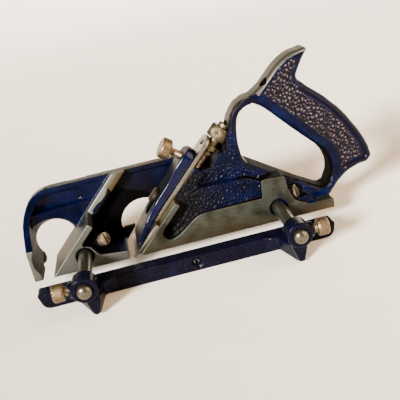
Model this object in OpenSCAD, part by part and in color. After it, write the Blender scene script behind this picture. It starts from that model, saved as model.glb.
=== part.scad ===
// Cast-iron rebate plane with a two-arm fence, a screw-fed cutter and a second bed at the nose.
// Millimetres, +Z up, sole on Z = 0, toe at -X, fence side at -Y. The origin is the middle of the sole.

/* [Sole and skirt] */
// Length of the sole
sole_len = 215; // [208:1:230]
// Width of the sole and of the cutting edge
sole_w = 38; // [36:1:42]
// Length of the toe strip ahead of the nose mouth
toe_land = 6.2; // [5:0.1:7]
// Distance from the toe to the foot of the nose bed
nose_bed_x = 13; // [12:0.5:15]
// Distance from the toe to the foot of the main bed
main_bed_x = 73.7; // [72:0.5:76]
// Open gap of the main mouth in front of the bed
mouth_gap = 7; // [6:0.5:9]
// Height of the low strip between the two mouths
strip_h = 6; // [5:0.5:7]
// Height of the machined skirt behind the main bed
skirt_h = 19.5; // [17:0.5:22]
// Height of the strip at the heel
heel_h = 7; // [6:0.5:9]

/* [Beds] */
// Slope of both cutter beds
bed_angle = 45; // [44:0.5:46]
// Length of each full-width ramp, measured up the slope
ramp_len = 45; // [42:0.5:48]
// Thickness of the ramp lip
lip_t = 4.3; // [3.5:0.1:5.5]
// Width of the narrow rail that carries the nose ramp up to the top edge
nose_rail_w = 13; // [10:0.5:15]
// Thickness of that rail
nose_rail_t = 7; // [6:0.5:9]
// Thickness of the block behind the cutter that holds the feed stud
stud_block_t = 9; // [8.5:0.5:10]

/* [Side wall] */
// Height of the side wall
wall_h = 54; // [52:1:58]
// Thickness of the side wall
wall_t = 5; // [4:0.5:6]
// Width of the flat rim along the wall's top
rim_w = 7; // [6:0.5:9]
// Depth of that rim
rim_h = 4; // [3:0.5:6]
// Radius of the rounded nose
nose_r = 22.5; // [20:0.5:25]
// Radius of the finger hole behind the nose
finger_r = 15; // [14:0.5:16]
// Height of the step above the finger hole
ridge_z = 39; // [37:0.5:41]
// Height of the toe's full-width foot
foot_h = 22; // [20:0.5:24]
// Radius of the arched shaving window beside the main mouth
window_r = 18; // [17:0.5:19]

/* [Handle] */
// Thickness of the handle
grip_w = 19; // [17:0.5:22]
// Rounding of the handle's long edges
grip_round = 3.4; // [2:0.2:4]

/* [Cutter] */
// Thickness of the cutter
cutter_t = 2.4; // [2:0.1:3]
// Length of the cutter above the foot of the bed
cutter_len = 93.4; // [90:0.2:94]
// Length of the cutter's full-width head above the foot of the bed
head_len = 25; // [22:0.5:27]
// Width of the cutter's shank
shank_w = 20; // [18:0.5:22]
// Angle of the sharpening bevel
bevel = 28; // [25:1:35]

/* [Lever cap] */
// Distance from the foot of the bed to the cap's upper end
cap_top = 80; // [78:0.5:82]
// Height of the cap's flat front above its seat
cap_t = 6.4; // [5.5:0.1:8]
// Width of the cap's shank
cap_w = 20; // [18:0.5:21]
// Distance from the foot of the bed to the cap screw
cap_screw_s = 38; // [36:0.5:40]
// Travel of the cap between the narrow and the wide end of its keyhole
keyhole_travel = 9; // [8:0.5:10]
// Distance from the foot of the bed to the cap's thumbscrew
cap_thumb_s = 73; // [71:0.5:74]
// Lean of the cap's thumbscrew away from square to the bed
cap_thumb_lean = 8; // [0:1:10]

/* [Cutter feed] */
// Diameter of the feed stud
stud_d = 5.4; // [4.8:0.1:5.6]
// Distance of the feed stud's axis behind the bed plane
stud_drop = 4.2; // [4:0.1:4.6]
// Diameter of the knurled feed nut
nut_d = 14; // [12:0.2:14.4]
// Length of the knurled part of the feed nut
nut_l = 9; // [8:0.5:10]

/* [Arms and fence] */
// Diameter of the fence arms
arm_d = 9.5; // [8.5:0.1:10]
// Height of the arms' axis above the sole
arm_z = 9.7; // [9:0.1:11]
// Distance from the toe to the front arm
front_arm_x = 37.5; // [36:0.5:39]
// Distance from the toe to the rear arm
rear_arm_x = 175.3; // [173:0.5:177]
// Reach of the arms beyond the side of the plane
arm_reach = 55; // [52:1:70]
// Length of the fence bar
fence_len = 206; // [200:1:208]
// Thickness of the fence bar
fence_t = 11.5; // [9:0.5:14]
// Height of the fence's face
fence_h = 11.3; // [9:0.5:16]
// Gap between the side of the plane and the fence's face, as set
fence_set = 7.5; // [4:0.5:10]
// Distance of the fence's upper face below the sole
fence_drop = 1.2; // [1:0.1:2]
// Outer radius of the fence's arm bosses
boss_r = 8.3; // [7.5:0.1:9.5]
// Length of the fence's arm bosses
boss_l = 13; // [12:0.5:16]
// Distance from the arms' rounded ends back to the bosses' outer faces, as set
boss_set = 4.3; // [3:0.1:8]

/* [Depth stop and spur] */
// Distance from the toe to the depth stop
stop_x = 42; // [41:0.5:43]
// Height of the depth stop's foot above the sole, as set
stop_set = 12; // [8:0.5:14]
// Width of the depth stop's stem
stop_w = 13; // [12:0.5:14]
// Thickness of the depth stop
stop_t = 3; // [2.5:0.5:4]
// Length of the depth stop's foot, along the plane
stop_foot_l = 22; // [16:1:23]
// Width of the depth stop's foot, across the plane
stop_foot_w = 14; // [10:1:18]
// Downward travel of the depth stop
stop_down = 11; // [8:0.5:11]
// Upward travel of the depth stop
stop_up = 8; // [4:0.5:9]
// Distance from the toe to the spur
spur_x = 58.5; // [58:0.5:59]
// Radius of the spur to its points
spur_r = 7.4; // [6.5:0.1:8]
// Thickness of the spur
spur_t = 1.6; // [1.2:0.1:2]

/* [Screws] */
// Diameter of the lever cap screw, the depth stop screw and the fence thumbscrews
screw_d = 6; // [5:0.1:6.4]
// Diameter of the arm lock screws
lock_d = 5; // [4.5:0.1:5.5]
// Diameter of the lock screws' heads
lock_head_d = 9; // [8:0.5:10]
// Rise of the lock screws towards the heel
lock_rise = 17; // [14:1:20]
// Swing of the lock screws towards the fence side
lock_swing = 38; // [34:1:42]
// Diameter of the large knurled heads
thumb_d = 15; // [13:0.5:16]
// Diameter of the fence's knurled heads
fence_thumb_d = 12; // [10:0.5:12.5]
// Diameter of the facing screw hole in the fence
facing_d = 4.6; // [4:0.1:5.5]

/* [Clearances] */
// Radial clearance of a shaft in its hole
run = 0.06; // [0.03:0.01:0.1]
// Gap between two pieces that slide past or rest near each other
gap = 0.25; // [0.2:0.05:0.3]

/* [Hidden] */
$fn = 48;

side = sole_w / 2;
eps = 0.5;
// How far the wall's openings run into the ramps that bound them
sink = 2;
// Cutter: seat on the bed, front face, where the sharp edge lies up the slope
cutter_seat = gap;
cutter_front = cutter_seat + cutter_t;
edge_s = -cutter_front * tan(90 - bed_angle) + 0.3;
// Lever cap: seat on the cutter and height of its flat front
cap_seat = cutter_front + gap;
cap_front = cap_seat + cap_t;
// Feed nut: a collar rides in a slot of the cutter, below the knurled part
collar_t = 3.4;
collar_r = stud_drop + 1.1;
nut_s = cutter_len + 0.9;
collar_s = nut_s - 8.4;
nut_travel = 1.5;
// Feed nut: radius and length of the shoulder above its knurl
shoulder_r = 4.1;
shoulder_l = 3.2;
// Start of the feed stud's hole and end of the block that holds it, up the bed
stud_s = 50;
block_end = 71;
// Fence: inner face, underside and the bosses' outer ends
fence_y = -side - fence_set;
fence_top = -fence_drop;
arm_end = -side - arm_reach;
boss_y = arm_end + boss_set;
boss_inner = boss_y + boss_l;
thumb_y = boss_y + boss_l / 2;
// Lock screws: place across the plane and distance of the head's seat from the arm's axis
lock_y = 1;
lock_seat = 16.8;
lock_skew = cos(lock_rise) * sin(lock_swing);
lock_tip = (arm_d / 2 + gap + lock_d / 2 * lock_skew) / sqrt(1 - lock_skew * lock_skew);
// Depth stop: height of its screw, and the slot that lets the stem travel
stop_screw_z = 33;
stop_slot_low = stop_screw_z - stop_up - screw_d / 2 - 0.5;
stop_slot_high = stop_screw_z + stop_down + screw_d / 2 + 0.5;
groove_d = 1;
// Spur: height of its screw and depth of its seat in the side
spur_z = spur_r - 0.5;
spur_seat = spur_t + gap;
spur_screw_d = 4;

// A point on a bed whose foot is at x: s up the slope, h out from the bed
function bed_point(x, s, h) =
    [x + s * cos(bed_angle) - h * sin(bed_angle), s * sin(bed_angle) + h * cos(bed_angle)];
function unit(v) = v / norm(v);
// One corner [x, z, radius] between its neighbours, as points along its fillet, one for each step of turn
function corner(p, c, q, step) = let (
        c2 = [c[0], c[1]],
        u = unit([p[0], p[1]] - c2),
        v = unit([q[0], q[1]] - c2),
        half = acos(max(-1, min(1, u * v))) / 2,
        reach = min(norm([p[0], p[1]] - c2), norm([q[0], q[1]] - c2)) * 0.48,
        t = min((c[2] == undef ? 0 : c[2]) / tan(half), reach),
        r = t * tan(half),
        mid = c2 + unit(u + v) * r / sin(half),
        a = c2 + u * t - mid,
        b = c2 + v * t - mid,
        a0 = atan2(a[1], a[0]),
        turn = atan2(a[0] * b[1] - a[1] * b[0], a * b),
        n = max(1, ceil(abs(turn) / step))
    ) t < 0.01 ? [c2] : [for (i = [0 : n]) mid + r * [cos(a0 + turn * i / n), sin(a0 + turn * i / n)]];
function rounded(c, step = 12) = let (m = len(c))
    [for (i = [0 : m - 1]) each corner(c[(i + m - 1) % m], c[i], c[(i + 1) % m], step)];
// The same closed outline moved inwards by d, less near the point soft_at; a negative d moves it outwards
function inset(p, d, soft_at) = let (m = len(p)) [for (i = [0 : m - 1]) let (
        u = unit(p[i] - p[(i + m - 1) % m]),
        v = unit(p[(i + 1) % m] - p[i]),
        k = unit([-u[1] - v[1], u[0] + v[0]]),
        w = min(1, 0.12 + norm(p[i] - soft_at) / 15)
    ) p[i] + k * d * w / max(0.7, k * [-u[1], u[0]])];
// Quarter round of an edge: [distance in from the outline, distance from the middle plane]
function edge_round(half, edge, n) =
    [for (i = [0 : n]) [edge * (1 - sin(90 * i / n)), half - edge * (1 - cos(90 * i / n))]];

// Handle outline and its finger opening, [x, z, corner radius] from the toe, both anticlockwise
handle_corners = [[145, 3, 0], [214, 3, 0], [218, 7, 5], [225.5, 15.5, 16], [235, 22, 14], [246.5, 23, 4],
    [250.5, 27.5, 4], [247.5, 38, 30], [239, 55.5, 60], [226.5, 72.5, 60], [203.2, 94, 4.5], [208.5, 103.5, 14],
    [215.8, 113.4, 1.6], [197, 110, 22], [182.5, 97, 14], [175.5, 89.8, 10], [158.8, 88, 8], [153.4, 75, 9],
    [146.5, 56, 12]];
grip_corners = [[157.5, 44.5, 16], [213.5, 11, 7], [219.3, 20, 10], [218.8, 36, 15], [172.5, 85, 7],
    [161.8, 83.2, 7], [158, 66, 15]];

// Upright plate: an outline in XZ that spans y0 to y1
module plate(points, y0, y1) {
    translate([0, y1, 0]) rotate([90, 0, 0]) linear_extrude(y1 - y0) polygon(points);
}

// Round bar along Y
module bar_y(r, y0, y1) {
    translate([0, y1, 0]) rotate([90, 0, 0]) cylinder(r = r, h = y1 - y0);
}

// Frame measured from the toe
module from_toe() {
    translate([-sole_len / 2, 0, 0]) children();
}

// Frame of the main bed: X up the slope, Z out from the bed
module on_bed(x = main_bed_x) {
    translate([x, 0, 0]) rotate([0, -bed_angle, 0]) children();
}

// Outline extruded across a bed: points are [s, h]
module bed_plate(points, y0, y1) {
    translate([0, y1, 0]) rotate([90, 0, 0]) linear_extrude(y1 - y0) polygon(points);
}

// Frame of a lock screw: Z outwards from the arm's axis
module on_lock(x) {
    translate([x, lock_y, arm_z]) rotate([0, 90 - lock_rise, -lock_swing]) children();
}

// Frame of the lever cap's thumbscrew: Z outwards from the cutter's face
module on_cap_thumb() {
    on_bed() translate([cap_thumb_s, 0, cutter_front]) rotate([0, -cap_thumb_lean, 0]) children();
}

// Closed bead along an outline: each ring is [inset of the outline, y], and the last ring joins the first
module bead(points, rings, soft_at) {
    n = len(points);
    m = len(rings);
    verts = [for (r = rings) each [for (p = inset(points, r[0], soft_at)) [p[0], r[1], p[1]]]];
    polyhedron(verts, [for (k = [0 : m - 1], i = [0 : n - 1])
        [k * n + i, k * n + (i + 1) % n, ((k + 1) % m) * n + (i + 1) % n, ((k + 1) % m) * n + i]], convexity = 6);
}

// Handle: a flat core, with a round bead along its outer edge and round its finger opening
module handle() {
    half = grip_w / 2;
    steps = 3;
    q = edge_round(half - 0.12, grip_round + 0.2, steps);
    rim = concat([[grip_round + 1.2, -half + 0.12]], [for (r = q) [r[0], -r[1]]],
        [for (i = [steps : -1 : 0]) q[i]], [[grip_round + 1.2, half - 0.12]]);
    horn = [handle_corners[12][0], handle_corners[12][1]];
    far = [0, -500];
    outer = rounded(handle_corners);
    inner = rounded(grip_corners);
    translate([0, half, 0]) rotate([90, 0, 0]) linear_extrude(grip_w) difference() {
        polygon(inset(outer, grip_round, horn));
        polygon(inset(inner, -grip_round, far));
    }
    bead(outer, rim, horn);
    bead(inner, [for (i = [len(rim) - 1 : -1 : 0]) [-rim[i][0], rim[i][1]]], far);
}

// Outer edge of the nose and side wall, set in by d
function wall_outline(d) = rounded([[d, d > 0 ? -1 : 0, 0], [150 - d, d > 0 ? -1 : 0, 0], [150 - d, 47 - d, 3],
    [130 - d, wall_h - d, 8], [d, wall_h - d, nose_r - d]], 8);

// Side wall with its flat rim, and the arch that carries the toe
module side_wall() {
    plate(wall_outline(0), side - wall_t, side);
    difference() {
        plate(wall_outline(0), side - rim_w, side);
        plate(wall_outline(rim_h), side - rim_w - 1, side - wall_t + eps);
        translate([40, -side, -1]) cube([200, sole_w, 40]);
    }
    nose_arch();
}

// Hollow nose: an arched shell that slopes from the toe's full width up to the wall's rim
module nose_arch() {
    rim_y = side - rim_w;
    difference() {
        intersection() {
            plate(wall_outline(0), -side, side);
            translate([-1, 0, 0]) rotate([90, 0, 90]) linear_extrude(42)
                polygon([[-side, 0], [side, 0], [side, wall_h], [rim_y, wall_h], [rim_y, wall_h - rim_h],
                    [-side, foot_h]]);
        }
        plate(wall_outline(rim_h + 0.6), -side - 1, side - wall_t);
    }
    plate([[0, 0], [toe_land, 0], [rim_h, foot_h], [0, foot_h]], -side, side);
    intersection() {
        plate([[1, 1], [nose_bed_x + 2, 1], [nose_bed_x + 2 + ridge_z, ridge_z], [2, ridge_z]], -side, side);
        linear_extrude(ridge_z) polygon([[2, 3], [nose_bed_x + ridge_z, side - rim_w], [nose_bed_x + ridge_z, side],
            [2, side]]);
        plate(wall_outline(0.5), -side, side);
    }
}

// Centre of the finger hole, from the toe
function finger_place() = [finger_r + 2.5, finger_r - 1.5];

// Clear space of the finger hole and the nose mouth below it, up to the nose bed
module finger_hole() {
    c = finger_place();
    intersection() {
        union() {
            translate([c[0], 0, c[1]]) bar_y(finger_r, -side - 1, side + 1);
            intersection() {
                translate([c[0], side - 2, c[1]]) rotate([90, 0, 0]) cylinder(r1 = finger_r, r2 = finger_r + 8, h = 18);
                plate(wall_outline(rim_h + 0.6), 0, side);
            }
            plate([[toe_land, -1], [nose_bed_x + 1, -1], [30, 16], [4.6, 16]], -side - 1, side + 1);
        }
        plate([[0, -2], bed_point(nose_bed_x, -3, -sink), bed_point(nose_bed_x, 60, -sink), [0, 60]],
            -side - 2, side + 2);
    }
}

// Clear space of the main mouth and the shaving window above it
module main_mouth() {
    front = main_bed_x - mouth_gap;
    plate([[front, -1], bed_point(main_bed_x, -2, -sink), bed_point(main_bed_x, 34, -sink),
        bed_point(main_bed_x, 34, 9), bed_point(front - 1, 12, 0), [front, 0]], -side - 1, side + 1);
    intersection() {
        translate([main_bed_x + 9.5, 0, strip_h + 5]) bar_y(window_r, side - 12, side + 1);
        plate([[50, strip_h + 3.5], [main_bed_x + strip_h + 3.5 + sink, strip_h + 3.5],
            bed_point(main_bed_x, 60, -sink), [50, 60]], side - 13, side + 2);
    }
}

// Ramp of one bed with its lip, down to the point where the casting behind it takes over
function ramp(x, low) = [bed_point(x, 0, 0), bed_point(x, ramp_len, 0), bed_point(x, ramp_len, -lip_t),
    bed_point(x, low, -lip_t)];

// Nose bed: ramp, front arm boss and low strip, with the narrow rail up to the wall's top
module nose_bed() {
    front = main_bed_x - mouth_gap;
    r = ramp(nose_bed_x, 28);
    plate(rounded([[r[0][0], 0, 0], r[1], [r[2][0], r[2][1], 1], [r[3][0], r[3][1], 3],
        [front_arm_x + 5, arm_z + 6, 4], [front_arm_x + 9.5, strip_h + 2, 4], [front, strip_h, 0], [front, 0, 0]]),
        -side, side);
    intersection() {
        on_bed(nose_bed_x) translate([ramp_len - 8, side - nose_rail_w, -nose_rail_t])
            cube([wall_h, nose_rail_w, nose_rail_t]);
        plate(wall_outline(0), -side, side);
    }
    on_lock(front_arm_x) cylinder(d = lock_head_d + 2.5, h = lock_seat);
}

// Main bed, skirt, rear arm pad and heel
module main_bed() {
    r = ramp(main_bed_x, 21);
    plate(rounded([[r[0][0], 0, 0], r[1], [r[2][0], r[2][1], 1], [r[3][0], r[3][1], 5], [95.5, 5, 5], [104.5, 8.5, 12],
        [119, skirt_h, 16], [rear_arm_x, skirt_h, 0], [rear_arm_x + 22, heel_h, 3], [sole_len, heel_h, 1],
        [sole_len, 0, 0]]), -side, side);
    plate(rounded([[rear_arm_x - 11, 4, 0], [rear_arm_x + 20, 4, 0], [rear_arm_x + 13, 10, 3],
        [rear_arm_x + 8.5, 22, 4], [rear_arm_x + 7.5, 32, 2.5], [rear_arm_x - 9.5, 33, 3]]), -side, -grip_w / 2 + 6);
}

// Recessed wall above the skirt, the web under the handle and the stud block behind the cutter
module rear_web() {
    difference() {
        plate(rounded([[86, 4, 0], [206, 4, 0], [196, 14, 4], [168, 30, 6], [158, 35.5, 4], [124, 36.5, 4],
            [100, 26, 0]]), -side + 3.5, side);
        plate(rounded([[90, 9, 3], [98, 7, 3], [109, 15, 8], [120, 28, 6], [118, 44, 0], [100, 40, 0]]),
            -side - 1, -side + 8);
    }
    plate(rounded([[90, 6, 0], [200, 6, 0], [197, 19, 4], [163, 42, 6], [150, 46.5, 3], [122, 46.5, 3]]),
        -grip_w / 2 + 1.5, side - wall_t + eps);
    on_lock(rear_arm_x) cylinder(d = lock_head_d + 2, h = lock_seat);
    on_bed() translate([34, -shank_w / 2, -stud_block_t])
        cube([block_end - 34, side + shank_w / 2, stud_block_t]);
    on_bed() translate([57, -shank_w / 2 - 1, -stud_block_t])
        cube([block_end - 57, shank_w, stud_block_t - gap]);
}

// Holes for the arms, their lock screws and the screws on the beds and the side
module body_holes() {
    for (x = [front_arm_x, rear_arm_x]) {
        translate([x, 0, arm_z]) {
            bar_y(arm_d / 2 + run, -side - 1, side + 1);
            translate([0, -side - 0.01, 0]) rotate([-90, 0, 0]) cylinder(d1 = arm_d + 4, d2 = arm_d, h = 2);
        }
        on_lock(x) cylinder(d = lock_d + 2 * run, h = lock_seat + 12);
        on_lock(x) translate([0, 0, lock_seat]) cylinder(d = lock_head_d + 1.4, h = 14);
    }
    for (x = [nose_bed_x, main_bed_x])
        on_bed(x) translate([cap_screw_s, 0, -lip_t - 6]) cylinder(d = screw_d + 2 * run, h = 20);
    on_bed() translate([stud_s - gap, 0, -stud_drop]) rotate([0, 90, 0]) cylinder(d = stud_d + 2 * run, h = 40);
    on_bed() translate([collar_s - 6, 0, -stud_drop]) rotate([0, 90, 0])
        cylinder(r = nut_d / 2 + 0.8, h = nut_s + nut_l + nut_travel + 1.2 - collar_s + 6);
    on_bed() translate([nut_s, 0, -stud_drop]) rotate([0, 90, 0])
        cylinder(r = shoulder_r + 0.8, h = nut_l + shoulder_l + nut_travel + 0.6);
    translate([stop_x, 0, stop_screw_z]) bar_y(screw_d / 2 + run, side - wall_t + 0.8, side + 1);
    translate([stop_x - stop_w / 2 - gap, side - groove_d, -1])
        cube([stop_w + 2 * gap, groove_d + 1, wall_h + 2]);
    translate([spur_x, 0, spur_z]) {
        bar_y(spur_screw_d / 2 + run, side - wall_t + 0.6, side + 1);
        bar_y(spur_r + gap + 0.6, side - spur_seat, side + 1);
    }
}

// The casting: sole, beds, side wall and handle in one piece
module body() {
    color("midnightblue") from_toe() difference() {
        union() {
            difference() {
                side_wall();
                finger_hole();
                main_mouth();
            }
            nose_bed();
            main_bed();
            rear_web();
            handle();
        }
        body_holes();
    }
}

// T-shaped cutter with a rounded upper end, a slot for the cap screw and one for the feed collar
module cutter() {
    color("lightgray") from_toe() on_bed() difference() {
        intersection() {
            bed_plate([[edge_s, cutter_front], [edge_s + cutter_t / tan(bevel), cutter_seat],
                [cutter_len, cutter_seat], [cutter_len, cutter_front]], -side, side);
            translate([0, 0, -1]) linear_extrude(cutter_front + 2) polygon(cutter_plan());
        }
        translate([cap_screw_s, 0, -1]) slot_cut(screw_d + 1.6, 2 * nut_travel + 4, cutter_front + 2);
        translate([collar_s - gap, -collar_slot() / 2, -1])
            cube([collar_t + 2 * gap, collar_slot(), cutter_front + 2]);
    }
}

// Width of the slot that clears the feed collar where it rises through the cutter's back
function collar_slot() = 2 * sqrt(collar_r * collar_r - pow(stud_drop, 2)) + 1.6;

// Cutter seen square to its face: [s, y]
function cutter_plan() = rounded([[edge_s - 1, -side, 0], [head_len, -side, 0], [head_len, -shank_w / 2, 2],
    [cutter_len, -shank_w / 2, 8], [cutter_len, shank_w / 2, 8], [head_len, shank_w / 2, 2], [head_len, side, 0],
    [edge_s - 1, side, 0]]);

// Round-ended slot along the bed, centred on the origin
module slot_cut(w, travel, h) {
    translate([-travel / 2, -w / 2, 0]) cube([travel, w, h]);
    for (x = [-travel / 2, travel / 2]) translate([x, 0, 0]) cylinder(d = w, h = h);
}

// Spade-shaped cap: a wedge that flares to the cutter's full width at its tip
module lever_cap() {
    tip = 2.5;
    half = cap_w / 2;
    wide = side - 0.8;
    color("navy") from_toe() on_bed() difference() {
        intersection() {
            bed_plate(rounded([[tip, cap_seat, 0], [cap_top, cap_seat, 1], [cap_top, cap_front + 0.6, 3.5],
                [cap_thumb_s - 8, cap_front + 1.6, 6], [52, cap_front, 12], [27, cap_front - 0.4, 10],
                [tip, cap_seat + 1.2, 0.5]]), -side, side);
            translate([0, 0, -1]) linear_extrude(cap_front + 6) polygon(rounded([[tip - 1, -wide, 0],
                [tip + 5, -wide, 6], [20, -half - 3, 14], [36, -half, 14], [cap_top, -half, 8], [cap_top, half, 8],
                [36, half, 14], [20, half + 3, 14], [tip + 5, wide, 6], [tip - 1, wide, 0]]));
        }
        translate([cap_screw_s - keyhole_travel / 2, 0, 0])
            slot_cut(screw_d + 0.8, keyhole_travel, cap_front + 4);
        translate([cap_screw_s - keyhole_travel, 0, 0]) cylinder(d = cap_screw_head() + 0.8, h = cap_front + 4);
        cap_thumb_bore();
    }
}

// Tapped hole for the cap's thumbscrew
module cap_thumb_bore() {
    translate([cap_thumb_s, 0, cutter_front]) rotate([0, -cap_thumb_lean, 0])
        translate([0, 0, -3]) cylinder(d = thumb_shank_d() + 2 * run, h = 24);
}

function thumb_shank_d() = 5.6;
function cap_screw_head() = screw_d + 4.4;

// Cap screw: held in the bed, its head over the cap
module lever_cap_screw() {
    head = cap_front + 0.4;
    color("peru") from_toe() on_bed() translate([cap_screw_s, 0, 0]) difference() {
        union() {
            translate([0, 0, -lip_t - 2]) cylinder(d = screw_d, h = head + lip_t + 2 + eps);
            translate([0, 0, head]) cylinder(d = cap_screw_head(), h = 2.6);
        }
        translate([-10, -0.7, head + 1.4]) cube([20, 1.4, 3]);
    }
}

// Knurled thumbscrew that jacks the cap's upper end away from the cutter
module lever_cap_thumbscrew() {
    color("tan") from_toe() on_cap_thumb() rotate_extrude() polygon([[0, gap], [1.6, gap],
        [thumb_shank_d() / 2, gap + 1.2], [thumb_shank_d() / 2, 15], [4.6, 15.6], [thumb_d / 2 - 0.6, 16.6],
        [thumb_d / 2, 17.2], [thumb_d / 2, 22.2], [thumb_d / 2 - 1, 23.2], [0, 23.2]]);
}

// Threaded stud, fixed in the block behind the cutter
module feed_stud() {
    color("saddlebrown") from_toe() on_bed() translate([stud_s, 0, -stud_drop]) rotate([0, 90, 0])
        cylinder(d = stud_d, h = nut_s + nut_l - 2 - stud_s);
}

// Feed nut: collar, neck, knurled grip and shoulder turned in one piece
module feed_nut() {
    r = nut_d / 2;
    bore = stud_d / 2 + run;
    neck = stud_drop - 0.2;
    color("darkkhaki") from_toe() on_bed() translate([0, 0, -stud_drop]) rotate([0, 90, 0]) rotate_extrude()
        polygon([[bore, collar_s - 4], [neck, collar_s - 4], [neck, collar_s - 1.6], [neck - 0.9, collar_s - 1.4],
            [neck - 0.9, collar_s], [collar_r, collar_s], [collar_r, collar_s + collar_t],
            [neck - 0.4, collar_s + collar_t], [neck - 0.4, nut_s], [r - 0.5, nut_s], [r, nut_s + 0.5],
            [r, nut_s + nut_l - 0.5], [r - 0.5, nut_s + nut_l], [shoulder_r, nut_s + nut_l],
            [shoulder_r, nut_s + nut_l + shoulder_l - 0.6], [shoulder_r - 0.6, nut_s + nut_l + shoulder_l],
            [bore, nut_s + nut_l + shoulder_l]]);
}

// Fence arm with a domed outer end
module arm(x) {
    r = arm_d / 2;
    dome = 3.2;
    length = side - 2 - arm_end;
    color("darkgray") from_toe() translate([x, side - 2, arm_z]) rotate([90, 0, 0]) rotate_extrude()
        polygon(concat([[0, 0], [r - 0.6, 0], [r, 0.6]],
            [for (a = [0 : 10 : 90]) [r * cos(a), length - dome + dome * sin(a)]]));
}
module front_arm() { arm(front_arm_x); }
module rear_arm() { arm(rear_arm_x); }

// Slotted cheese-head screw that bears on an arm
module arm_screw(x) {
    head_h = 4.2;
    color("sienna") from_toe() on_lock(x) difference() {
        union() {
            translate([0, 0, lock_tip]) cylinder(d = lock_d, h = lock_seat + eps - lock_tip);
            translate([0, 0, lock_seat + 0.1]) cylinder(d = lock_head_d, h = head_h);
        }
        translate([-10, -0.6, lock_seat + head_h - 1.6]) cube([20, 1.2, 4]);
    }
}
module front_arm_screw() { arm_screw(front_arm_x); }
module rear_arm_screw() { arm_screw(rear_arm_x); }

// Fence: straight bar below the sole, with a boss on a tapered leg for each arm
module fence() {
    first = (sole_len - fence_len) / 2 - 2.5;
    last = first + fence_len;
    low = fence_top - fence_h;
    outer = fence_y - fence_t;
    color("darkslateblue") from_toe() difference() {
        union() {
            plate(rounded([[first, fence_top, 1], [first + 3, low, 6], [last - 2, low, 8], [last, fence_top, 2]]),
                outer, fence_y);
            fence_boss(front_arm_x, -1, 3);
            fence_boss(rear_arm_x, 1, 0);
        }
        for (x = [front_arm_x, rear_arm_x]) translate([x, 0, arm_z]) bar_y(arm_d / 2 + run, boss_y - 1, boss_inner + 1);
        for (s = [[front_arm_x, -1], [rear_arm_x, 1]]) translate([s[0], thumb_y, arm_z]) rotate([0, s[1] * 90, 0])
            cylinder(d = screw_d + 2 * run, h = 30);
        translate([sole_len / 2 + 2.5, 0, fence_top - fence_h / 2]) {
            bar_y(facing_d / 2, outer - 1, fence_y + 1);
            translate([0, outer - 0.01, 0]) rotate([-90, 0, 0]) cylinder(d1 = facing_d + 4, d2 = facing_d, h = 2);
        }
    }
}

// One arm boss with its lug for the thumbscrew, its tapered leg and the gusset to the bar
module fence_boss(x, dir, lean) {
    outer = fence_y - fence_t;
    low = fence_top - fence_h;
    tip = low + 1.5;
    translate([x, 0, arm_z]) bar_y(boss_r, boss_y, boss_inner);
    translate([x, thumb_y, arm_z]) rotate([0, dir * 90, 0]) cylinder(d = screw_d + 4, h = boss_r + 1.6);
    plate(rounded([[x - 6.5, arm_z, 0], [x + lean - 4.6, fence_top, 3], [x + lean - 1.7, tip, 1.5],
        [x + lean + 1.7, tip, 1.5], [x + lean + 4.6, fence_top, 3], [x + 6.5, arm_z, 0]]), boss_y + 5, boss_inner);
    intersection() {
        plate(rounded([[x - 20, fence_top, 1], [x - 20, low + 4, 1], [x + lean - 3, tip, 3], [x + lean + 3, tip, 3],
            [x + 20, low + 4, 1], [x + 20, fence_top, 1]]), boss_y + 7, outer + 1);
        translate([0, 0, low - 1]) linear_extrude(fence_h + 2) polygon([[x + lean - 2.5, boss_y + 7],
            [x + lean + 2.5, boss_y + 7], [x + 9, outer - 5], [x + 19, outer + 1], [x - 19, outer + 1],
            [x - 9, outer - 5]]);
    }
}

// Knurled thumbscrew that bears on an arm from the side of its boss
module fence_thumbscrew(x, dir) {
    r = fence_thumb_d / 2;
    head = boss_r + 2.2;
    color("tan") from_toe() translate([x, thumb_y, arm_z]) rotate([0, dir * 90, 0]) rotate_extrude()
        polygon([[0, arm_d / 2 + 0.1], [screw_d / 2 - 0.6, arm_d / 2 + 0.1], [screw_d / 2, arm_d / 2 + 0.7],
            [screw_d / 2, head + 1.8], [r - 0.8, head + 2.4], [r, head + 3.2], [r, head + 8.6], [r - 1, head + 9.6],
            [0, head + 9.6]]);
}
module front_fence_thumbscrew() { fence_thumbscrew(front_arm_x, -1); }
module rear_fence_thumbscrew() { fence_thumbscrew(rear_arm_x, 1); }

// Depth stop: slotted stem in a groove of the side, with a flat foot
module depth_stop() {
    y0 = side - groove_d + gap;
    top = stop_slot_high + 4;
    color("gray") from_toe() difference() {
        union() {
            plate(rounded([[stop_x - stop_w / 2, stop_set, 0], [stop_x + stop_w / 2, stop_set, 0],
                [stop_x + stop_w / 2, top, 5], [stop_x - stop_w / 2, top, 5]]), y0, y0 + stop_t);
            translate([stop_x - stop_foot_l / 2, side + gap, stop_set]) cube([stop_foot_l, stop_foot_w, stop_t]);
        }
        plate(rounded([[stop_x - screw_d / 2 - 0.3, stop_slot_low, 3], [stop_x + screw_d / 2 + 0.3, stop_slot_low, 3],
            [stop_x + screw_d / 2 + 0.3, stop_slot_high, 3], [stop_x - screw_d / 2 - 0.3, stop_slot_high, 3]]),
            y0 - 1, y0 + stop_t + 1);
    }
}

// Plain washer under the depth stop's thumbscrew
module depth_stop_washer() {
    y0 = side - groove_d + gap + stop_t + gap;
    color("silver") from_toe() translate([stop_x, 0, stop_screw_z]) difference() {
        bar_y(screw_d / 2 + 3, y0, y0 + 1);
        bar_y(screw_d / 2 + 0.15, y0 - 1, y0 + 2);
    }
}

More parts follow.
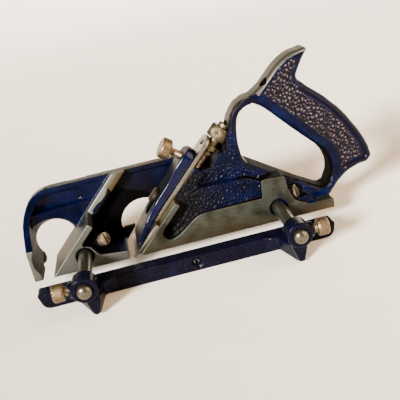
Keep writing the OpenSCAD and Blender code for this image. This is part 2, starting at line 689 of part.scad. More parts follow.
// Knurled thumbscrew that clamps the depth stop to the side
module depth_stop_thumbscrew() {
    seat = side - groove_d + gap + stop_t + gap + 1 + 0.1;
    r = thumb_d / 2 - 0.5;
    tip = side - wall_t + 1.1;
    color("tan") from_toe() translate([stop_x, 0, stop_screw_z]) rotate([-90, 0, 0]) rotate_extrude()
        polygon([[0, tip], [screw_d / 2, tip], [screw_d / 2, seat], [r - 0.8, seat], [r, seat + 0.8],
            [r, seat + 6], [r - 0.8, seat + 6.8], [0, seat + 6.8]]);
}

// Spur: three points round a hub, set flush in the side ahead of the cutter
module spur() {
    hub = spur_r - 2.6;
    y1 = side - 0.05;
    color("lightslategray") from_toe() translate([spur_x, 0, spur_z]) difference() {
        union() {
            bar_y(hub, y1 - spur_t, y1);
            for (a = [30, 150, 270]) rotate([0, a, 0])
                plate([[0, -2.6], [spur_r, 0], [0, 2.6]], y1 - spur_t, y1);
        }
        bar_y(spur_screw_d / 2 + run, y1 - spur_t - 1, y1 + 1);
    }
}

// Slotted screw through the spur's hub
module spur_screw() {
    seat = side + gap - 0.1;
    color("sienna") from_toe() translate([spur_x, 0, spur_z]) difference() {
        union() {
            bar_y(spur_screw_d / 2, side - wall_t + 0.9, seat + eps);
            bar_y(3.4, seat, seat + 1.6);
        }
        translate([-5, seat + 0.9, -0.5]) cube([10, 2, 1]);
    }
}

body();
cutter();
lever_cap();
lever_cap_screw();
lever_cap_thumbscrew();
feed_stud();
feed_nut();
front_arm();
rear_arm();
front_arm_screw();
rear_arm_screw();
fence();
front_fence_thumbscrew();
rear_fence_thumbscrew();
depth_stop();
depth_stop_washer();
depth_stop_thumbscrew();
spur();
spur_screw();
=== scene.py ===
import math
import bpy
import numpy as np
from mathutils import Matrix, Vector


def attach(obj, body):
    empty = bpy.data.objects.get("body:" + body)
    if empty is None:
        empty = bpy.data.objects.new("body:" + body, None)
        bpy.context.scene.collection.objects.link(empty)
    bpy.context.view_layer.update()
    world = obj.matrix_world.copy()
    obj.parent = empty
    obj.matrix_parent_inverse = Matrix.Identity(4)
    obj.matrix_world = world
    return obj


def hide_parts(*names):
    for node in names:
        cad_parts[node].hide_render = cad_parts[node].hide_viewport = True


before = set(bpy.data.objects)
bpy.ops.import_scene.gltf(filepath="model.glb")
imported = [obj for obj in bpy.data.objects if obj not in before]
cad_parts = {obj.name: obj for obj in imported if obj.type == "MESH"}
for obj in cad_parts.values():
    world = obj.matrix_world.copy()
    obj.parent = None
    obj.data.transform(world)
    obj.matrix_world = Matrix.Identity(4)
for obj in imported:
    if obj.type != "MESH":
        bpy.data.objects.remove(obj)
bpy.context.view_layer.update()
mm = 0.001

# sizes in mm that several pieces share, measured from the toe as the casting's pattern is
plane = {"length": 215, "halfWidth": 19, "wallTop": 54, "mainBed": 73.7, "noseBed": 13, "bedAngle": 45,
         "studDrop": 4.2, "armHeight": 9.7, "frontArm": 37.5, "rearArm": 175.3, "armEnd": -74}


def hexLinear(code):  # sRGB hex to the linear colour that a socket takes
    parts = [int(code[i:i + 2], 16) / 255 for i in (1, 3, 5)]
    return tuple(p / 12.92 if p <= 0.04045 else ((p + 0.055) / 1.055) ** 2.4 for p in parts) + (1,)


def addNode(mat, kind, settings=None, links=None):  # one node with its settings and what feeds it
    node = mat.node_tree.nodes.new("ShaderNode" + kind)
    for key, value in (settings or {}).items():
        if key == "stops":
            while len(node.color_ramp.elements) < len(value):
                node.color_ramp.elements.new(0.5)
            for stop, (place, shade) in zip(node.color_ramp.elements, value):
                stop.position = place
                stop.color = hexLinear(shade) if isinstance(shade, str) else (shade, shade, shade, 1)
        elif isinstance(key, str) and hasattr(node, key):
            setattr(node, key, value)
        else:
            node.inputs[key].default_value = value
    for key, source in (links or {}).items():
        mat.node_tree.links.new(source, node.inputs[key])
    return node


def newFinish(name):  # an empty material with its output and Object coordinates
    mat = bpy.data.materials.new(name)
    mat.use_nodes = True
    mat.node_tree.nodes.clear()
    coords = addNode(mat, "TexCoord").outputs["Object"]
    return mat, coords


def closeFinish(mat, surface):
    addNode(mat, "OutputMaterial", {}, {"Surface": surface.outputs["BSDF"]})
    return mat


def pick(piece):  # only this piece is selected and active
    bpy.ops.object.select_all(action="DESELECT")
    piece.select_set(True)
    bpy.context.view_layer.objects.active = piece


def editAll(piece):
    pick(piece)
    bpy.ops.object.mode_set(mode="EDIT")
    bpy.ops.mesh.select_all(action="SELECT")


def backToObject():
    bpy.ops.object.mode_set(mode="OBJECT")


def useModifier(piece, kind, **settings):  # adds a modifier and applies it
    pick(piece)
    mod = piece.modifiers.new(kind.title(), kind)
    for key, value in settings.items():
        setattr(mod, key, value)
    bpy.ops.object.modifier_apply(modifier=mod.name)


def cadCopy(node, name):  # own copy of a solid's mesh, its loose triangles merged
    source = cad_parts[node]
    piece = bpy.data.objects.new(name, source.data.copy())
    piece.data.name = name
    bpy.context.scene.collection.objects.link(piece)
    piece.data.materials.clear()
    editAll(piece)
    bpy.ops.mesh.remove_doubles(threshold=0.004 * mm)
    backToObject()
    return piece


def bedPlace(foot, s, y, h, spin=None):  # frame on a bed: X up the slope, Z out of the bed
    tilt = Matrix.Rotation(-math.radians(plane["bedAngle"]), 4, "Y")
    base = Matrix.Translation(((foot - plane["length"] / 2) * mm, 0, 0)) @ tilt
    place = base @ Matrix.Translation((s * mm, y * mm, h * mm))
    return place @ spin if spin else place


def studPlace():  # frame along the feed stud, behind the main bed
    return bedPlace(plane["mainBed"], 0, 0, -plane["studDrop"], Matrix.Rotation(math.pi / 2, 4, "Y"))


def toePlace(x, y, z, direction):  # frame at a point from the toe, Z along the direction
    aim = Vector(direction).to_track_quat("Z", "Y").to_matrix().to_4x4()
    return Matrix.Translation(((x - plane["length"] / 2) * mm, y * mm, z * mm)) @ aim


def settle(piece, place):  # puts the place into the mesh and leaves the object at the origin
    piece.matrix_world = place
    pick(piece)
    bpy.ops.object.transform_apply(location=True, rotation=True, scale=True)


def finishPiece(piece, body, mats, nodes):
    for mat in mats:
        piece.data.materials.append(mat)
    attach(piece, body)
    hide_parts(*nodes)


def vertexPlaces(piece):  # vertex places from the toe in mm, and normals
    count = len(piece.data.vertices)
    places = np.zeros(count * 3)
    normals = np.zeros(count * 3)
    piece.data.vertices.foreach_get("co", places)
    piece.data.vertices.foreach_get("normal", normals)
    places = places.reshape(-1, 3) / mm
    places[:, 0] += plane["length"] / 2
    return places, normals.reshape(-1, 3)


def movePlaces(piece, places):
    back = places.copy()
    back[:, 0] -= plane["length"] / 2
    piece.data.vertices.foreach_set("co", (back * mm).ravel())
    piece.data.update()


def paintMask(piece, name, values):  # one number a vertex, for the finish to read
    layer = piece.data.attributes.new(name, "FLOAT", "POINT")
    layer.data.foreach_set("value", np.clip(values, 0, 1).astype(np.float32))


def ease(x, low, high):  # 0 below low, 1 above high, smooth between
    t = np.clip((x - low) / (high - low), 0, 1)
    return t * t * (3 - 2 * t)


def within(values, low, high):  # true between two bounds
    return (values > low) * (values < high)


def bedFrame(foot, x, z):  # how far up a bed's slope a point is, and how far out of it
    return (x - foot + z) * math.sqrt(0.5), (z - x + foot) * math.sqrt(0.5)


def cellDraw(column, row, first, second):  # a scattered number from 0 to 1, always the same for a cell
    return np.modf(np.abs(np.sin(column * first + row * second)) * 43758.5)[0]


def grains(x, z, cell):  # height of a cast grain: uneven round tops of about 1, creases of 0 between them
    u = (0.6 * x + 0.8 * z + 0.5 * np.sin(0.8 * z)) * 0.6 / cell  # longer along the slant than across
    v = (0.6 * z - 0.8 * x + 0.4 * np.sin(0.9 * x)) / cell
    near = np.full(len(x), 9.0)
    second = near.copy()
    lift = np.zeros(len(x))
    column, row = np.floor(u), np.floor(v)
    for i in (-1, 0, 1):
        for k in (-1, 0, 1):
            c, r = column + i, row + k
            jog = cellDraw(c, r, 127.1, 311.7)
            lean = cellDraw(c, r, 269.5, 183.3)
            away = np.hypot(u - c - 0.15 - 0.7 * jog, v - r - 0.15 - 0.7 * lean)
            lift = np.where(away < near, jog, lift)
            second = np.minimum(second, np.maximum(near, away))
            near = np.minimum(near, away)
    tops = 1 - np.minimum(near / 0.75, 1) ** 2
    creases = np.minimum((second - near) * 3, 1)
    return tops * creases * (0.85 + 0.3 * lift)


def castGrain(places, cell):  # grain on the sides of the casting, carried round their edges
    x, y, z = places.T
    return grains(x, z + 0.6 * np.clip(y, -9, 9), cell)


def edgeWear(piece):  # how far each vertex stands out from its neighbours, 0.5 on a flat
    mesh = piece.data
    places, normals = vertexPlaces(piece)
    pairs = np.zeros(len(mesh.edges) * 2, np.int64)
    mesh.edges.foreach_get("vertices", pairs)
    pairs = pairs.reshape(-1, 2)
    total = np.zeros_like(places)
    count = np.zeros(len(places))
    for a, b in ((0, 1), (1, 0)):
        np.add.at(total, pairs[:, a], places[pairs[:, b]])
        np.add.at(count, pairs[:, a], 1)
    mean = total / np.maximum(count, 1)[:, None]
    bulge = ((places - mean) * normals).sum(1)
    for _ in range(3):  # spread over the neighbours, so that the wear follows edges and not single points
        spread = np.zeros(len(places))
        for a, b in ((0, 1), (1, 0)):
            np.add.at(spread, pairs[:, a], bulge[pairs[:, b]])
        bulge = 0.4 * bulge + 0.6 * spread / np.maximum(count, 1)
    return np.clip(0.5 + bulge / 0.25, 0, 1)


machinedIron = ("#30332e", "#3b3e38", "#484b44")
darkIron = ("#191a1b", "#212325", "#2c2e30")
rubbedIron = "#74766f"
# tones laid over the enamel and the iron: hand browning with a painted warm reflection tint, painted shade
# with dust, stains, and dried oil with a painted warm reflection
ageing = {"hand": "#060308", "shadeAndDust": "#040302", "stain": "#1f1b14", "driedOilAndReflection": "#463a26"}
# sizes in mm of the patches, chips and cutter lines
marks = {"patch": 11, "chip": 1.7, "line": 0.9}
finishes = {
    "casting": {"deep": "#01020e", "mid": "#02051b", "light": "#040a2a", "stipple": 1.3, "gloss": 0.16,
                "stippleDepth": 0.22, "shine": 0.07, "iron": machinedIron, "polish": rubbedIron},
    # the grip's pinkish polish tone colours the grain tops: a painted highlight, partly worn enamel
    "grip": {"deep": "#01020c", "mid": "#020415", "light": "#040824", "stipple": 1.3, "gloss": 0.24,
             "stippleDepth": 0.15, "shine": 0.12, "iron": machinedIron, "polish": "#67525a"},
    "cap": {"deep": "#010314", "mid": "#020620", "light": "#040b30", "stipple": 1.6, "gloss": 0.12,
            "stippleDepth": 0.1, "shine": 0.15, "iron": darkIron, "polish": rubbedIron},
    "fence": {"deep": "#02030d", "mid": "#040514", "light": "#07091f", "stipple": 1.2, "gloss": 0.2,
              "stippleDepth": 0.25, "shine": 0.06, "iron": machinedIron, "polish": rubbedIron},
}


# stoved enamel on sand-cast iron: nearly black navy, glossy, dimpled by the sand, worn through on edges
def enamelFinish(name, look):
    mat, coords = newFinish(name)
    bare = addNode(mat, "Attribute", {"attribute_name": "bare"}).outputs["Fac"]
    edge = addNode(mat, "Attribute", {"attribute_name": "edge"}).outputs["Fac"]
    soil = addNode(mat, "Attribute", {"attribute_name": "soil"}).outputs["Fac"]
    hand = addNode(mat, "Attribute", {"attribute_name": "hand"}).outputs["Fac"]
    patch = addNode(mat, "TexNoise", {"Scale": 1 / (marks["patch"] * mm), "Detail": 4},
                    {"Vector": coords}).outputs["Fac"]
    chips = addNode(mat, "TexNoise", {"Scale": 1 / (marks["chip"] * mm), "Detail": 5, "Roughness": 0.65},
                    {"Vector": coords}).outputs["Fac"]
    dimples = addNode(mat, "TexNoise", {"Scale": 1 / (look["stipple"] * mm), "Detail": 2},
                      {"Vector": coords}).outputs["Fac"]
    rub = addNode(mat, "Math", {"operation": "MULTIPLY_ADD", 1: 1.7, 2: -1.08}, {0: edge}).outputs[0]
    worn = addNode(mat, "Math", {"operation": "ADD"}, {0: bare, 1: rub}).outputs[0]
    broken = addNode(mat, "Math", {"operation": "MULTIPLY_ADD", 1: 0.55}, {0: chips, 2: worn}).outputs[0]
    mask = addNode(mat, "ValToRGB", {"stops": [(0.66, 0.0), (0.76, 1.0)]}, {"Fac": broken}).outputs["Color"]
    navy = addNode(mat, "ValToRGB",
                   {"stops": [(0.3, look["deep"]), (0.52, look["mid"]), (0.74, look["light"])]},
                   {"Fac": patch}).outputs["Color"]
    # the grip's purple-brown tint is a painted warm reflection as well as hand browning, and painted shade
    # with dust blackens the hollows
    tintedByHandAndReflection = addNode(mat, "Mix", {"data_type": "RGBA", 7: hexLinear(ageing["hand"])},
                      {0: hand, 6: navy}).outputs[2]
    enamel = addNode(mat, "Mix", {"data_type": "RGBA", 7: hexLinear(ageing["shadeAndDust"])},
                     {0: soil, 6: tintedByHandAndReflection}).outputs[2]
    # machined iron: faint cutter lines along the sole, olive grey, tan where oil has dried and where a warm
    # reflection is painted low on the skirt
    lines = addNode(mat, "Mapping", {"Scale": (0.06, 1, 1)}, {"Vector": coords}).outputs["Vector"]
    grind = addNode(mat, "TexNoise", {"Scale": 1 / (marks["line"] * mm), "Detail": 3},
                    {"Vector": lines}).outputs["Fac"]
    iron = addNode(mat, "ValToRGB", {"stops": list(zip((0.25, 0.5, 0.78), look["iron"]))},
                   {"Fac": grind}).outputs["Color"]
    stain = addNode(mat, "ValToRGB", {"stops": [(0.45, 0.0), (0.66, 0.75)]}, {"Fac": patch}).outputs["Color"]
    aged = addNode(mat, "Mix", {"data_type": "RGBA", 7: hexLinear(ageing["stain"])},
                   {0: stain, 6: iron}).outputs[2]
    polish = addNode(mat, "Mix", {"data_type": "RGBA", 7: hexLinear(look["polish"])},
                     {0: hand, 6: aged}).outputs[2]
    oilAndReflection = addNode(mat, "Mix", {"data_type": "RGBA", 7: hexLinear(ageing["driedOilAndReflection"])},
                    {0: soil, 6: polish}).outputs[2]
    colour = addNode(mat, "Mix", {"data_type": "RGBA"}, {0: mask, 6: enamel, 7: oilAndReflection}).outputs[2]
    gloss = addNode(mat, "Math", {"operation": "MULTIPLY_ADD", 1: 0.16, 2: look["gloss"] - 0.06},
                    {0: chips}).outputs[0]
    rubbed = addNode(mat, "Math", {"operation": "MULTIPLY_ADD", 1: 0.16}, {0: hand, 2: gloss}).outputs[0]
    sheen = addNode(mat, "Math", {"operation": "MULTIPLY_ADD", 1: 0.4}, {0: soil, 2: rubbed}).outputs[0]
    dull = addNode(mat, "Math", {"operation": "MULTIPLY_ADD", 1: 0.2, 2: 0.4}, {0: grind}).outputs[0]
    rough = addNode(mat, "Mix", {"data_type": "FLOAT"}, {0: mask, 2: sheen, 3: dull}).outputs[0]
    metal = addNode(mat, "Math", {"operation": "MULTIPLY", 1: 0.85}, {0: mask}).outputs[0]
    flat = addNode(mat, "Math", {"operation": "MULTIPLY", 1: 0.25}, {0: grind}).outputs[0]
    height = addNode(mat, "Mix", {"data_type": "FLOAT"}, {0: mask, 2: dimples, 3: flat}).outputs[0]
    bump = addNode(mat, "Bump", {"Strength": 0.6, "Distance": look["stippleDepth"] * mm},
                   {"Height": height}).outputs["Normal"]
    # where the dark soil and painted shade are thickest, most of the gloss goes too
    gleam = addNode(mat, "ValToRGB", {"stops": [(0.9, look["shine"]), (0.95, 0.13 * look["shine"])]},
                    {"Fac": soil}).outputs["Color"]
    surface = addNode(mat, "BsdfPrincipled", {},
                      {"Base Color": colour, "Metallic": metal, "Roughness": rough, "Normal": bump,
                       "Specular IOR Level": gleam})
    return closeFinish(mat, surface)


# turned or ground metal: fine lines, dulled in patches, brown in the low places
def metalFinish(name, look):
    mat, coords = newFinish(name)
    along = addNode(mat, "Mapping", {"Scale": look["lines"]}, {"Vector": coords}).outputs["Vector"]
    grind = addNode(mat, "TexNoise", {"Scale": 1 / (look["grain"] * mm), "Detail": 4},
                    {"Vector": along}).outputs["Fac"]
    patch = addNode(mat, "TexNoise", {"Scale": 1 / (look["patch"] * mm), "Detail": 5, "Roughness": 0.6},
                    {"Vector": coords}).outputs["Fac"]
    clean = addNode(mat, "ValToRGB", {"stops": [(0.25, look["dark"]), (0.75, look["light"])]},
                    {"Fac": grind}).outputs["Color"]
    first = look["tarnishFrom"]
    tarnish = addNode(mat, "ValToRGB", {"stops": [(first, 0.0), (first + 0.2, look["tarnishMost"])]},
                      {"Fac": patch}).outputs["Color"]
    valley = addNode(mat, "Attribute", {"attribute_name": "valley"}).outputs["Fac"]
    low = addNode(mat, "Math", {"operation": "MULTIPLY_ADD", 1: 0.8, "use_clamp": True},
                  {0: valley, 2: tarnish}).outputs[0]
    colour = addNode(mat, "Mix", {"data_type": "RGBA", 7: hexLinear(look["tarnish"])},
                     {0: low, 6: clean}).outputs[2]
    rough = addNode(mat, "Math", {"operation": "MULTIPLY_ADD", 1: 0.3, 2: look["rough"] - 0.12},
                    {0: patch}).outputs[0]
    bump = addNode(mat, "Bump", {"Strength": 0.2, "Distance": 0.05 * mm},
                   {"Height": grind}).outputs["Normal"]
    surface = addNode(mat, "BsdfPrincipled", {"Metallic": look["metallic"]},
                      {"Base Color": colour, "Roughness": rough, "Normal": bump})
    return closeFinish(mat, surface)


castingEnamel = enamelFinish("navyEnamelOnIron", finishes["casting"])
# the same enamel where hands hold it, duller, so that every grain shows a broad glint
gripEnamel = enamelFinish("navyEnamelOnGrip", finishes["grip"])
capEnamel = enamelFinish("navyEnamelOnCap", finishes["cap"])
fenceEnamel = enamelFinish("navyEnamelOnFence", finishes["fence"])
# ground tool steel: bright, fine lines across, faint brown spots
cutterSteel = metalFinish("groundToolSteel", {
    "lines": (1, 0.1, 1), "grain": 0.7, "patch": 5, "dark": "#5e5b51", "light": "#7d796d",
    "tarnish": "#463826", "tarnishFrom": 0.56, "tarnishMost": 0.6, "rough": 0.32, "metallic": 0.95})
# turned bar steel gone dull in the hand
armSteel = metalFinish("dulledBarSteel", {
    "lines": (1, 0.4, 1), "grain": 1.2, "patch": 4, "dark": "#4b4941", "light": "#625f55",
    "tarnish": "#332a1f", "tarnishFrom": 0.52, "tarnishMost": 0.6, "rough": 0.28, "metallic": 0.92})
# steel screws browned by rust, bright where a driver and fingers rub
brownSteel = metalFinish("brownedScrewSteel", {
    "lines": (1, 1, 1), "grain": 1.4, "patch": 3.4, "dark": "#6d6055", "light": "#948677",
    "tarnish": "#36200f", "tarnishFrom": 0.45, "tarnishMost": 0.9, "rough": 0.36, "metallic": 0.85})
# screw steel blackened by oil
blackSteel = metalFinish("oiledScrewSteel", {
    "lines": (1, 1, 1), "grain": 1.4, "patch": 3.4, "dark": "#332c25", "light": "#4d4438",
    "tarnish": "#24150b", "tarnishFrom": 0.45, "tarnishMost": 0.8, "rough": 0.42, "metallic": 0.85})
# nickel plate worn through to brass: warm grey tan, darker in the knurls
wornNickel = metalFinish("wornNickelOnBrass", {
    "lines": (1, 1, 1), "grain": 1.2, "patch": 3, "dark": "#6b5e4a", "light": "#8d7c60",
    "tarnish": "#453924", "tarnishFrom": 0.52, "tarnishMost": 0.6, "rough": 0.4, "metallic": 0.92})
# brass nut gone olive
dullBrass = metalFinish("dulledBrass", {
    "lines": (1, 1, 1), "grain": 1.2, "patch": 3, "dark": "#4d4535", "light": "#6a6048",
    "tarnish": "#292116", "tarnishFrom": 0.5, "tarnishMost": 0.65, "rough": 0.45, "metallic": 0.92})
print("finishes made")


casting = {"voxel": 0.5, "smooth": 5, "tris": 196000, "pebbleSize": 2.0, "pebbleHeight": 1.0,
           "speckleSize": 2.0, "speckleHeight": 0.7, "gripHalf": 9.5, "border": 5.0, "groove": 0.8,
           "hornHole": {"x": 181.3, "y": -5.2, "z": 96.2, "long": 3.3, "wide": 3.0, "deep": 5},
           "hornRidge": [(172, 89.4), (175.5, 90.2), (182.5, 97), (190, 104.2), (198, 109.6), (207, 112.4),
                         (215, 113.4)],
           "noseCurve": {"x": 22.5, "z": 31.5, "radius": 22.5}, "fingerHole": {"x": 17.5, "z": 13.5},
           "pocketEnd": {"x": 38.5, "z": 44.8, "radius": 5.7, "from": 11.7, "to": 14.6,
                         "rampSide": [(53, 38.4), (65, 50.6)]},
           "railFace": 6, "lipEnd": 45, "gussetHalf": 7.5,
           "gusset": [(126, 38), (154, 38), (154, 63), (151.6, 60.7), (145.6, 54.7), (143.6, 55.3),
                      (131.9, 43.6)],
           "nutBackFrom": 7.9, "nutBackTo": 9.5, "nutBack": [(131, 42), (154, 42), (156, 74), (150, 68)]}
# handle outline and its finger opening as the pattern has them: x from the toe, z, corner radius
handleCorners = [(145, 3, 0), (214, 3, 0), (218, 7, 5), (225.5, 15.5, 16), (235, 22, 14), (246.5, 23, 4),
                 (250.5, 27.5, 4), (247.5, 38, 30), (239, 55.5, 60), (226.5, 72.5, 60), (203.2, 94, 4.5),
                 (208.5, 103.5, 14), (215.8, 113.4, 1.6), (197, 110, 22), (182.5, 97, 14), (175.5, 89.8, 10),
                 (158.8, 88, 8), (153.4, 75, 9), (146.5, 56, 12)]
openingCorners = [(157.5, 44.5, 16), (213.5, 11, 7), (219.3, 20, 10), (218.8, 36, 15), (172.5, 85, 7),
                  (161.8, 83.2, 7), (158, 66, 15)]
sharpPlaces = [(145, 3), (214, 3), (203.2, 94), (215.8, 113.4), (247.5, 24)]


def outlineOf(corners, step=1.0):  # the outline with its corners filleted, as evenly spaced points
    spots = []
    for i, (cx, cz, radius) in enumerate(corners):
        centre = np.array((cx, cz))
        before = np.array(corners[i - 1][:2]) - centre
        after = np.array(corners[(i + 1) % len(corners)][:2]) - centre
        u = before / np.linalg.norm(before)
        v = after / np.linalg.norm(after)
        half = math.acos(np.clip(u @ v, -1, 1)) / 2
        reach = 0.48 * min(np.linalg.norm(before), np.linalg.norm(after))
        t = min(radius / math.tan(half), reach)
        if t < 0.01:
            spots.append(centre)
            continue
        middle = centre + (u + v) / np.linalg.norm(u + v) * t / math.cos(half)
        a = centre + u * t - middle
        b = centre + v * t - middle
        swing = math.atan2(a[0] * b[1] - a[1] * b[0], a @ b)
        for k in range(9):
            turnBy = swing * k / 8
            spots.append(middle + np.array((a[0] * math.cos(turnBy) - a[1] * math.sin(turnBy),
                                            a[0] * math.sin(turnBy) + a[1] * math.cos(turnBy))))
    loop = np.array(spots + spots[:1])
    run = np.concatenate(([0], np.cumsum(np.linalg.norm(np.diff(loop, axis=0), axis=1))))
    even = np.arange(0, run[-1], step)
    return np.stack([np.interp(even, run, loop[:, k]) for k in (0, 1)], axis=1)


def fairShift(points, reach):  # each point's way onto a flowing curve, nothing near sharp corners
    waves = np.fft.fftfreq(len(points)) * 2 * math.pi * reach
    soften = np.exp(-0.5 * waves ** 2)
    pull = 2 * soften - soften ** 2
    flowing = np.stack([np.fft.ifft(np.fft.fft(points[:, k]) * pull).real for k in (0, 1)], axis=1)
    away = np.min([np.linalg.norm(points - np.array(s), axis=1) for s in sharpPlaces], axis=0)
    return (flowing - points) * ease(away, 3, 12)[:, None]


def nearestOn(points, x, z):  # distance to an outline's points, and which one is nearest
    best = np.full(len(x), 1e9)
    which = np.zeros(len(x), int)
    for i in range(0, len(x), 4000):
        part = slice(i, i + 4000)
        gap = np.hypot(x[part, None] - points[None, :, 0], z[part, None] - points[None, :, 1])
        which[part] = gap.argmin(1)
        best[part] = gap.min(1)
    return best, which


def hornTop(places):  # the upper rim of the horn, that the web of the hand rubs
    x, _, z = places.T
    some = np.nonzero((x > 170) & (z > 84))[0]
    ridge = np.array(casting["hornRidge"])
    run = np.linspace(0, len(ridge) - 1, 80)
    chain = np.stack([np.interp(run, np.arange(len(ridge)), ridge[:, k]) for k in (0, 1)], axis=1)
    gap, _ = nearestOn(chain, x[some], z[some])
    top = np.zeros(len(x))
    top[some] = (1 - ease(gap, 2.2, 2.9)) * ease(x[some], 172, 178)
    return top


def hornDip(places):  # the blind hole at the foot of the horn, its inside painted dark as shade
    x, y, z = places.T
    hole = casting["hornHole"]
    run = ((x - hole["x"]) + (z - hole["z"])) * math.sqrt(0.5)
    near = 1 - np.hypot(run / hole["long"], (y - hole["y"]) / hole["wide"])
    return ease(near, -0.12, 0.0) * (np.abs(run) < 5) * (z > 88)


def railFlank(places):  # the strip beside the nose bed that shavings have polished
    x, y, z = places.T
    s, h = bedFrame(plane["noseBed"], x, z)
    return (np.abs(y - casting["railFace"]) < 1) * ease(h, -4.8, -3.2) * (h < 0.5) * (s > 40)


def railTop(places):  # the upper end of that strip
    x, y, z = places.T
    s, h = bedFrame(plane["noseBed"], x, z)
    return (np.abs(y - casting["railFace"]) < 1.2) * within(h, -7.6, 0.6) * ease(s, 65, 67.5)


def lighterNoseSide(places):  # the machined side next to the nose mouth is brighter than the rest
    x, y, _ = places.T
    return 0.4 * ease(-y, plane["halfWidth"] - 0.6, plane["halfWidth"] - 0.3) * (1 - ease(x, 60, 80))


def underPost(places):  # the gusset and the edge below the finger opening, where wear doesn't reach
    x, _, z = places.T
    return within(x, 126, 226) * (z > 8) * (z < 66 - 0.5 * np.maximum(x - 158, 0)) * 1.0


def bareIron(places, normals):  # where the casting was machined or is rubbed bare
    x, y, z = places.T
    nx, _, nz = normals.T
    side = plane["halfWidth"]
    outOfBed = (nz - nx) * math.sqrt(0.5)
    upBed = (nx + nz) * math.sqrt(0.5)
    bare = ease(-y, side - 0.55, side - 0.25) + ease(y, side - 0.55, side - 0.25) + ease(-z, -0.5, -0.25)
    for foot, bedTop in ((plane["noseBed"], 90), (plane["mainBed"], 72)):
        s, h = bedFrame(foot, x, z)
        bare = bare + ease(outOfBed, 0.7, 0.9) * (np.abs(h) < 0.6) * within(s, -1, bedTop)
        bare = bare + ease(upBed, 0.7, 0.9) * (np.abs(s - casting["lipEnd"]) < 0.7) * within(h, -5, 0.6)
    rim = ease(z, plane["wallTop"] - 0.5, plane["wallTop"] - 0.2) * (x < 140)
    curve = casting["noseCurve"]
    fromCentre = np.hypot(x - curve["x"], z - curve["z"])
    nose = ease(fromCentre, curve["radius"] - 0.5, curve["radius"] - 0.1)
    nose = nose * (x < curve["x"]) * (z > curve["z"])
    toe = ease(-x, -0.5, -0.2)
    post = ease(outOfBed, 0.6, 0.8) * within(x, 145, 176) * ease(z, 66, 72) * 0.6
    heel = ease(nz, 0.8, 0.95) * (x > 199) * (z < 8) * 0.8
    bare = bare + rim + 0.55 * nose + 0.4 * toe + hornTop(places) + post + heel
    bare = bare + railFlank(places) + railTop(places)
    return np.clip(bare, 0, 1) * (1 - hornDip(places))


def soilingAndPaintedLight(places, normals):  # painted shade behind the nose bed, under the nut and in the finger opening, a darkened finger hole and web, a painted warm reflection low on the machined skirt, dried oil on rubbed places
    x, y, z = places.T
    nx, _, nz = normals.T
    hole = casting["fingerHole"]
    away = np.hypot(x - hole["x"], z - hole["z"])
    inward = -(nx * (x - hole["x"]) + nz * (z - hole["z"])) / np.maximum(away, 0.1)
    # the inside of the finger hole is darkened
    inHole = ease(inward, 0.3, 0.7) * (x < 42) * (z < 54) * (y > -18.6) * 0.9
    _, h = bedFrame(plane["noseBed"], x, z)
    # painted shadow behind the nose bed, under the rail
    behindBedShadow = ease(-h, 4.2, 5.5) * within(x, 30, 100) * (z > 6.5) * (y > -18.2)
    behindBedShadow = behindBedShadow * (0.95 - 0.3 * ease(z, 42, 50))
    # the web is darkened most next to the cutter, less towards the handle
    web = within(x, 82, 165) * within(z, 4, 47) * within(y, -18.4, 12) * (0.9 - 0.75 * ease(x, 112, 150))
    # painted shade on the gusset's top, under the nut
    troughShade = ease(nz - nx, 0.5, 0.9) * within(x, 126, 154) * within(z, 40, 64) * 0.9
    # painted shade on the floor and back of the finger opening
    openingFloorShade = ease(nz, 0.4, 0.7) * within(x, 152, 226) * within(z, 8, 47) * 0.96
    openingBackShade = ease(-nx, 0.35, 0.65) * within(x, 188, 226) * within(z, 8, 62) * 0.96
    # painted warm reflection: a tan strip low on the machined skirt
    skirtWarmReflection = ease(-z, -7, -2) * (y < -18.4) * (x > 75) * 0.6
    post = 0.5 * within(x, 145, 174) * (z > 66)
    soil = inHole + behindBedShadow + web + troughShade + openingFloorShade + openingBackShade + skirtWarmReflection
    return np.clip(soil + 0.25 * railTop(places) + 0.3 * hornTop(places) + hornDip(places) + post, 0, 1)


def trimTo(piece, tris, keep=None):  # thins the mesh to about this many triangles, less where keep is high
    now = sum(len(p.vertices) - 2 for p in piece.data.polygons)
    if now <= tris:
        return
    if keep is None:
        useModifier(piece, "DECIMATE", ratio=tris / now)
        return
    group = piece.vertex_groups.new(name="plain")
    group.add([int(i) for i in np.nonzero(keep < 0.05)[0]], 1.0, "REPLACE")
    useModifier(piece, "DECIMATE", ratio=tris / now, vertex_group="plain", vertex_group_factor=1.0)
    piece.vertex_groups.clear()


def fairHandle(places):  # draws the handle's facets out into flowing curves
    x, _, z = places.T
    some = np.nonzero((x > 142) & (z > 8))[0]
    hx, hz = x[some], z[some]
    lowEdge = 44.5 - (hx - 157.5) * 0.6
    aboveWeb = ease(hz, 47, 54) + ease(hx, 208, 216) * ease(hz, 9, 13)
    outer = outlineOf(handleCorners)
    opening = outlineOf(openingCorners)
    gap, which = nearestOn(outer, hx, hz)
    move = fairShift(outer, 7)[which] * ((1 - ease(gap, 4, 9)) * np.clip(aboveWeb, 0, 1))[:, None]
    gap, which = nearestOn(opening, hx, hz)
    move += fairShift(opening, 9)[which] * ((1 - ease(gap, 4, 9)) * ease(hz - lowEdge, 4, 10))[:, None]
    places[some, 0] += move[:, 0]
    places[some, 2] += move[:, 1]


